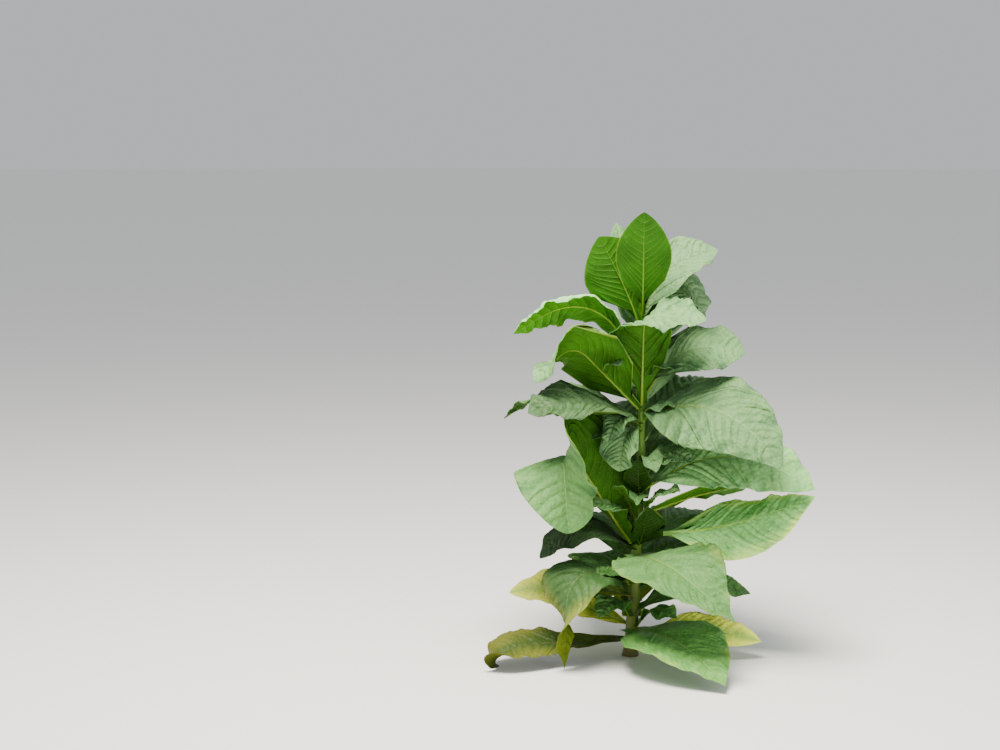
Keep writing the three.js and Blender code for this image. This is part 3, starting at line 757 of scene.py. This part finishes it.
def under_material(age):
    """Underside of a leaf: clearer, more even green than the face, netted with fine pale veins."""
    tones = LEAF_COLOURS[age]
    material, tree, shader = new_material(age + "_leaf_underside", Roughness=0.65, IOR=1.25)
    place = add_node(tree, "ShaderNodeTexCoord").outputs["Object"]
    broad = add_node(tree, "ShaderNodeTexNoise", None, {
        "Vector": place, "Scale": per_metre(80), "Detail": 3.0,
    })
    net = add_node(tree, "ShaderNodeTexVoronoi", {"feature": "DISTANCE_TO_EDGE"}, {
        "Vector": place, "Scale": per_metre(9),
    })
    tint = ramp(tree, broad.outputs["Fac"], [(0.3, tones["under_dark"]), (0.65, tones["under"])])
    strands = ramp(tree, net.outputs["Distance"], [(0.0, "#ffffff"), (0.09, "#000000")])
    weight = add_node(tree, "ShaderNodeMath", {"operation": "MULTIPLY"}, {0: strands, 1: 0.1})
    netted = add_node(tree, "ShaderNodeMix", {"data_type": "RGBA"}, {
        0: weight.outputs[0], 6: tint, 7: colour(tones["vein"]),
    })
    aged = ripened(tree, netted.outputs[2], tones["under_yellow"], broad.outputs["Fac"])
    rim = add_node(tree, "ShaderNodeMapRange", None, {
        "Value": attribute(tree, "margin"), "From Min": 0.95, "From Max": 1.0, "To Max": 0.4,
    })
    rimmed = add_node(tree, "ShaderNodeMix", {"data_type": "RGBA"}, {
        0: rim.outputs[0], 6: aged, 7: colour(tones["yellow"]),
    })
    tree.links.new(with_tone_and_painted_light(tree, rimmed.outputs[2]), shader.inputs["Base Color"])
    bump = add_node(tree, "ShaderNodeBump", {"invert": True}, {
        "Strength": 0.5, "Distance": 0.001, "Height": strands,
    })
    tree.links.new(bump.outputs[0], shader.inputs["Normal"])
    return material


# How ripe a leaf is at its base and at its tip. Its tone makes it paler above 1 and deeper below 1; the tones
# listed are partly the leaf's own tone and partly painted light and shade for how brightly the leaf was lit,
# and a small spread added to every leaf differs at random.
RIPENESS = {
    "leaf_01": (0.55, 0.75), "leaf_02": (0.35, 0.7), "leaf_03": (0.05, 0.12), "leaf_04": (0.6, 0.8),
    "leaf_05": (0.4, 0.6), "leaf_06": (0.5, 0.75), "leaf_08": (0.02, 1.1), "leaf_10": (0.12, 0.12),
    "leaf_11": (0.2, 0.24), "leaf_12": (0.05, 0.05),
}
FRESH = (0.02, 0.02)
RIPENS_FROM = 0.4
RIPENS_OVER = 0.4
# Painted light and shade on whole leaves, ribs included: a leaf in shade is made deeper and a brightly lit
# one paler.
TONES_AND_PAINTED_LIGHT = {
    "leaf_01": 1.45, "leaf_02": 0.23, "leaf_03": 1.35, "leaf_08": 0.55, "leaf_11": 2.6, "leaf_13": 0.25,
    "leaf_16": 1.5, "leaf_17": 2.1, "leaf_21": 0.48, "leaf_25": 1.35, "leaf_26": 1.5, "leaf_31": 2.4,
    "leaf_44": 0.4, "leaf_45": 0.45,
}
TONE_SPREAD = 0.07
# How much painted pale sheen the upper side gets at the foot of the stem and at its top.
BLOOM_AND_SHEEN_AT_FOOT = 0.02
BLOOM_AND_SHEEN_AT_TOP = 0.22
VEIN_MARK_WIDTH = 0.06
VEIN_MARK = 0.2
VEIN_MARK_LOST_AT_MARGIN = 0.15
MARKS_END_OVER = 0.05
MARK_LEFT_AT_TIP = 0.2
FIRST_LEAF_SEED = 11
TONE_STEP = 7

sides_of_age = {age: [upper_material(age), under_material(age)] for age in LEAF_COLOURS}
skins = {}
for number, (name, shape) in enumerate((LEAVES | AXIL_LEAVES).items()):
    leaf = {**COMMON, **shape}
    chance = np.random.default_rng(number + FIRST_LEAF_SEED)
    upper, under, s, u, panels, veins, normal, relief = blade_skin(name, leaf, chance)
    tone_and_painted_light = TONES_AND_PAINTED_LIGHT.get(name, 1.0) * (1 + TONE_SPREAD * math.sin(TONE_STEP * number))
    skins[name] = (leaf, under, s, u, panels, veins, normal, tone_and_painted_light)
    rows, columns = s.shape
    quads, sides = blade_faces(rows, columns)
    corners = np.concatenate([upper.reshape(-1, 3), under.reshape(-1, 3)])
    blade = piece_from(name + "_blade", corners, quads, sides_of_age[leaf["age"]], sides)
    part = panels % 1.0
    near_vein = np.exp(-(np.minimum(part, 1 - part) / VEIN_MARK_WIDTH) ** 2)
    near_vein = near_vein * (VEIN_MARK - VEIN_MARK_LOST_AT_MARGIN * np.abs(u))
    near_rib = np.exp(-(np.abs(u) * half_width(leaf, s) / rib_radius(leaf, s)) ** 2)
    marked = np.maximum(near_vein, near_rib) * smooth((1 - s) / MARKS_END_OVER + MARK_LEFT_AT_TIP)
    ripe_base, ripe_tip = RIPENESS.get(name, FRESH)
    leaf_high = leaf["at"] / STEM_HEIGHT
    looks = {
        "vein": np.clip(marked, 0, 1),
        "margin": np.abs(u),
        "relief": relief,
        "ripeness": ripe_base + (ripe_tip - ripe_base) * smooth((s - RIPENS_FROM) / RIPENS_OVER),
        "bloom_and_painted_sheen": BLOOM_AND_SHEEN_AT_FOOT + (BLOOM_AND_SHEEN_AT_TOP - BLOOM_AND_SHEEN_AT_FOOT) * leaf_high + 0 * s,
        "tone_and_painted_light": tone_and_painted_light + 0 * s,
    }
    for key, values in looks.items():
        store_on_points(blade.data, key, np.tile(values.ravel(), 2))
    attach(blade, "root")
    if name in LEAVES:
        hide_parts(*([name, name + "_end"] if leaf["ends"] else [name]))


# Leaf ribs
# The midrib and side veins that stand out under each blade, pale and juicy, thick at the stem and fading out
# near the margin. Their lines are taken off the blade's underside, and Geometry Nodes lay a rib on each.
RIB_SIDES = 6
VEIN_RADIUS = 0.85
VEIN_END_RADIUS = 0.3
VEINS_STOP_AT = 0.93
VEIN_TAPER = 1.3
VEINS_THINNER_AT_TIP = 0.55
VEIN_STANDS_OUT = 0.3
MIDRIB_STANDS_OUT = 0.45
MIDRIB_RUNS_IN = 4
MIDRIB_SWELL_AT_FOOT = 1.15


def rib_material(name, main, side):
    """Juicy leaf rib: the midrib paler than the blade, the side veins close to the blade's own green."""
    material, tree, shader = new_material(name, Roughness=0.42, IOR=1.42)
    place = add_node(tree, "ShaderNodeTexCoord").outputs["Object"]
    share = add_node(tree, "ShaderNodeMapRange", None, {
        "Value": attribute(tree, "thick"), "From Min": VEIN_END_RADIUS * MM, "From Max": 2 * VEIN_RADIUS * MM,
    })
    cloud = add_node(tree, "ShaderNodeTexNoise", None, {
        "Vector": place, "Scale": per_metre(30), "Detail": 4.0,
    })
    tint = add_node(tree, "ShaderNodeMix", {"data_type": "RGBA"}, {
        0: share.outputs[0], 6: colour(side), 7: colour(main),
    })
    tree.links.new(with_tone_and_painted_light(tree, tint.outputs[2]), shader.inputs["Base Color"])
    bump = add_node(tree, "ShaderNodeBump", None, {
        "Strength": 0.3, "Distance": 0.0004, "Height": cloud.outputs[0],
    })
    tree.links.new(bump.outputs[0], shader.inputs["Normal"])
    return material


# Leaf rib of each age: clear green in young and grown leaves, straw-yellow in ripe ones
rib_of_age = {
    "young": rib_material("young_leaf_rib", "#72981c", "#3d7804"),
    "grown": rib_material("grown_leaf_rib", "#728e20", "#3f7004"),
    "ripe": rib_material("ripe_leaf_rib", "#b0a850", "#8a9420"),
}

tree = bpy.data.node_groups.new("lay_leaf_ribs", "GeometryNodeTree")
tree.interface.new_socket(name="Lines", in_out="INPUT", socket_type="NodeSocketGeometry")
input_socket(tree, "Sides", "NodeSocketInt", RIB_SIDES)
input_socket(tree, "Rib material", "NodeSocketMaterial", None)
tree.interface.new_socket(name="Ribs", in_out="OUTPUT", socket_type="NodeSocketGeometry")
given = add_node(tree, "NodeGroupInput").outputs
lines = add_node(tree, "GeometryNodeMeshToCurve", None, {"Mesh": given["Lines"]})
thick = add_node(tree, "GeometryNodeInputNamedAttribute", {"data_type": "FLOAT"}, {"Name": "thick"})
section = add_node(tree, "GeometryNodeCurvePrimitiveCircle", None, {
    "Resolution": given["Sides"], "Radius": 1.0,
})
swept = add_node(tree, "GeometryNodeCurveToMesh", None, {
    "Curve": lines.outputs[0], "Profile Curve": section.outputs["Curve"], "Scale": thick.outputs["Attribute"],
    "Fill Caps": True,
})
real = add_node(tree, "GeometryNodeRealizeInstances", None, {"Geometry": swept.outputs[0]})
rounded = add_node(tree, "GeometryNodeSetShadeSmooth", None, {"Geometry": real.outputs[0]})
dyed = add_node(tree, "GeometryNodeSetMaterial", None, {
    "Geometry": rounded.outputs[0], "Material": given["Rib material"],
})
add_node(tree, "NodeGroupOutput", None, {"Ribs": dyed.outputs[0]})


def rib_lines(name, skin):
    """Midrib and side-vein lines on the underside of a blade, each point with its thickness."""
    leaf, under, s, u, panels, veins, normal, tone_and_painted_light = skin
    rows, columns = s.shape
    mid = columns // 2
    points = []
    edges = []
    thick = []
    main = rib_radius(leaf, s[:, mid])
    line = under[:, mid] - normal[:, mid] * (MIDRIB_STANDS_OUT * main)[:, None]
    inward = line[0] - unit(line[1] - line[0]) * MIDRIB_RUNS_IN
    points += [inward, *line]
    thick += [main[0] * MIDRIB_SWELL_AT_FOOT, *main]
    edges += [(k, k + 1) for k in range(rows)]
    for k in range(1, veins + 1):
        row = int(np.searchsorted(panels[:, 0], k))
        for way in (-1, 1):
            picked = [j for j in range(mid, mid + way * (mid + 1), way) if abs(u[row, j]) <= VEINS_STOP_AT]
            picked = picked[:1] + picked[3::2]
            share = np.abs(u[row, picked])
            taper = (1 - share) ** VEIN_TAPER * (1 - VEINS_THINNER_AT_TIP * s[row, mid])
            radius = VEIN_END_RADIUS + (VEIN_RADIUS - VEIN_END_RADIUS) * taper
            first = len(points)
            points += list(under[row, picked] - normal[row, picked] * (VEIN_STANDS_OUT * radius)[:, None])
            thick += list(radius)
            edges += [(first + q, first + q + 1) for q in range(len(picked) - 1)]
    mesh = bpy.data.meshes.new(name)
    mesh.from_pydata((np.array(points) * MM).tolist(), edges, [])
    store_on_points(mesh, "thick", np.array(thick) * MM)
    store_on_points(mesh, "tone_and_painted_light", np.full(len(thick), tone_and_painted_light))
    return mesh


for name, skin in skins.items():
    age = skin[0]["age"]
    ribs = grown_by_nodes(name + "_ribs", rib_lines(name + "_lines", skin), tree,
                          {"Rib material": rib_of_age[age]}, [rib_of_age[age]])
    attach(ribs, "root")


# Studio
# A plain pale floor under a soft overhead light and a weak fill, with the camera at the photograph's height,
# distance and tilt. None of it is part of the plant.
FLOOR_RADIUS = 60
FLOOR_SIDES = 96
FLOOR_DROP = 0.001
CAMERA_PLACE = (-0.382, -5.729, 1.560)
CAMERA_TILT = math.atan(0.1275)
CAMERA_LENS = 72


def soft_light(name, place, aim, size, power, tint):
    """A square soft box that looks at a point."""
    data = bpy.data.lights.new(name, "AREA")
    data.size = size
    data.energy = power
    data.color = colour(tint)[:3]
    lamp = bpy.data.objects.new(name, data)
    lamp.location = place
    lamp.rotation_euler = (Vector(aim) - Vector(place)).to_track_quat("-Z", "Y").to_euler()
    bpy.context.collection.objects.link(lamp)


floor_paint, tree, shader = new_material("pale_studio_floor", Roughness=0.9)
shader.inputs["Base Color"].default_value = colour("#f8f8f6")
bpy.ops.mesh.primitive_circle_add(vertices=FLOOR_SIDES, radius=FLOOR_RADIUS, fill_type="NGON",
                                  location=(0, 0, -FLOOR_DROP))
floor = bpy.context.object
floor.name = "studio_floor"
floor.data.materials.append(floor_paint)

soft_light("overhead_soft_box", (-0.6, -1.3, 4.4), (0, 0, 0.6), 2.0, 540, "#fff8ea")
soft_light("front_fill", (2.8, -4.0, 1.6), (0, 0, 0.6), 2.2, 60, "#ffffff")

world = bpy.data.worlds.new("pale_studio")
world.use_nodes = True
sky = world.node_tree.nodes["Background"]
sky.inputs["Color"].default_value = colour("#e9ecee")
sky.inputs["Strength"].default_value = 0.7
bpy.context.scene.world = world

camera_data = bpy.data.cameras.new("photo_camera")
camera_data.lens = CAMERA_LENS
camera = bpy.data.objects.new("photo_camera", camera_data)
camera.location = CAMERA_PLACE
camera.rotation_euler = (math.pi / 2 - CAMERA_TILT, 0, 0)
bpy.context.collection.objects.link(camera)
bpy.context.scene.camera = camera
